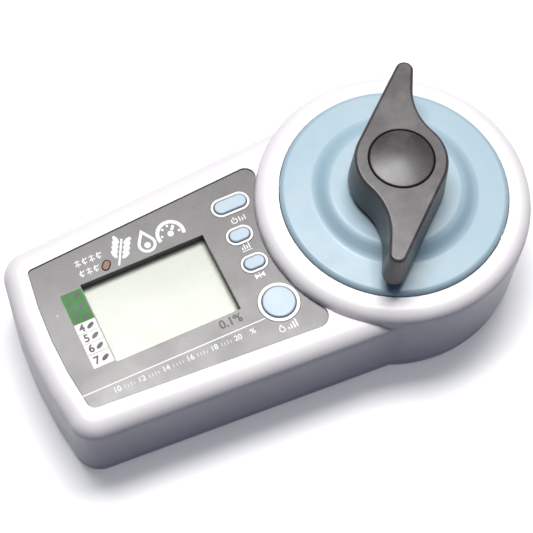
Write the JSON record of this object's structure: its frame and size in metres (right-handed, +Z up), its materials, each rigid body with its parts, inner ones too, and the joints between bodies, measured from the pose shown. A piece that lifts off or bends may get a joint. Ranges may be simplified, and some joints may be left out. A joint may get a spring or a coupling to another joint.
{
  "type": "grain moisture meter",
  "caption": "Hand-held grain moisture meter: tapered white body with display and buttons, round head with a blue press lid turned by a grey wing handle.",
  "frame": {"origin": "middle of the object's footprint, on the surface it stands on", "axes": "+X from the tail to the round head, +Y to the side with the power button, +Z up"},
  "size_m": [0.1816, 0.0948, 0.0663],
  "materials": {
    "case_white": "satin moulded",
    "base_white": "satin moulded",
    "overlay_grey": "printed film, soft sheen",
    "bezel_dark": "matte moulded",
    "window_clear": "clear",
    "display_pale": "unlit liquid crystal",
    "button_blue": "satin moulded",
    "lid_blue": "satin moulded",
    "handle_grey": "satin moulded",
    "amber_lens": "clear tinted",
    "rubber_dark": "matte",
    "dark_part": "matte moulded",
    "board_green": "solder resist",
    "battery_sleeve": "printed sleeve",
    "steel": "turned",
    "brass": "turned",
    "cell_ivory": "moulded insulating plastic",
    "acetal_grey": "machined"
  },
  "bodies": {
    "case": {"upper_case": "case_white", "lower_case": "base_white", "case_screws": "steel", "foot_pads": "rubber_dark", "overlay_panel": "overlay_grey", "display_bezel": "bezel_dark", "display_window": "window_clear", "display_cell": "display_pale", "contact_strips": "dark_part", "main_board": "board_green", "board_screws": "steel", "indicator_lens": "amber_lens", "indicator_led": "amber_lens", "switch_power": "dark_part", "switch_average": "dark_part", "switch_select": "dark_part", "switch_measure": "dark_part", "battery_tray": "dark_part", "battery_1": "battery_sleeve", "battery_2": "battery_sleeve", "battery_3": "battery_sleeve", "battery_4": "battery_sleeve", "battery_springs": "steel", "battery_plates": "steel", "door_pin": "steel", "cell_base": "cell_ivory", "cell_screws": "steel", "lower_electrode": "steel", "temperature_probe": "brass", "lock_ring": "steel", "lock_screws": "steel"},
    "dish": {"sample_dish": "steel"},
    "door": {"battery_door": "base_white"},
    "power_key": {"button_power": "button_blue"},
    "average_key": {"button_average": "button_blue"},
    "select_key": {"button_select": "button_blue"},
    "measure_key": {"button_measure": "button_blue"},
    "lid_guide": {"guide_sleeve": "acetal_grey"},
    "lid": {"press_lid": "lid_blue", "lid_seal": "rubber_dark", "spindle_bush": "brass", "sleeve_clip": "steel"},
    "handle": {"spindle": "steel", "wing_handle": "handle_grey", "handle_screw": "steel", "handle_cap": "handle_grey"},
    "press": {"press_piston": "acetal_grey", "press_nut": "brass", "press_insulator": "cell_ivory", "upper_electrode": "steel", "electrode_screws": "steel"}
  },
  "joints": [
    {"name": "lid_lift", "type": "slide", "parent": "case", "child": "lid_guide", "axis": [0, 0, 1], "range_m": [0, 0.045]},
    {"name": "lid_lock", "type": "hinge", "parent": "lid_guide", "child": "lid", "pos_m": [0.04335, 0, 0.04], "axis": [0, 0, 1], "range_deg": [-30, 0]},
    {"name": "handle_turn", "type": "hinge", "parent": "lid", "child": "handle", "pos_m": [0.04335, 0, 0.055], "axis": [0, 0, 1], "range_deg": [-360, 0]},
    {"name": "press_travel", "type": "slide", "parent": "lid_guide", "child": "press", "axis": [0, 0, 1], "range_m": [-0.006, 0]},
    {"name": "dish_lift", "type": "slide", "parent": "case", "child": "dish", "axis": [0, 0, 1], "range_m": [0, 0.0225]},
    {"name": "door_swing", "type": "hinge", "parent": "case", "child": "door", "pos_m": [-0.01785, 0, 0.0025], "axis": [0, -1, 0], "range_deg": [0, 90]},
    {"name": "power_press", "type": "slide", "parent": "case", "child": "power_key", "axis": [0, 0, -1], "range_m": [0, 0.0008], "stiffness_N_per_m": 1500, "springref_m": -0.0004},
    {"name": "average_press", "type": "slide", "parent": "case", "child": "average_key", "axis": [0, 0, -1], "range_m": [0, 0.0008], "stiffness_N_per_m": 1500, "springref_m": -0.0004},
    {"name": "select_press", "type": "slide", "parent": "case", "child": "select_key", "axis": [0, 0, -1], "range_m": [0, 0.0008], "stiffness_N_per_m": 1500, "springref_m": -0.0004},
    {"name": "measure_press", "type": "slide", "parent": "case", "child": "measure_key", "axis": [0, 0, -1], "range_m": [0, 0.0008], "stiffness_N_per_m": 1500, "springref_m": -0.0004}
  ],
  "couplings": [
    {"joint": "press_travel", "follows": "handle_turn", "m_per_rad": 0.00095493},
    {"joint": "dish_lift", "follows": "lid_lift", "ratio": 0.5}
  ]
}
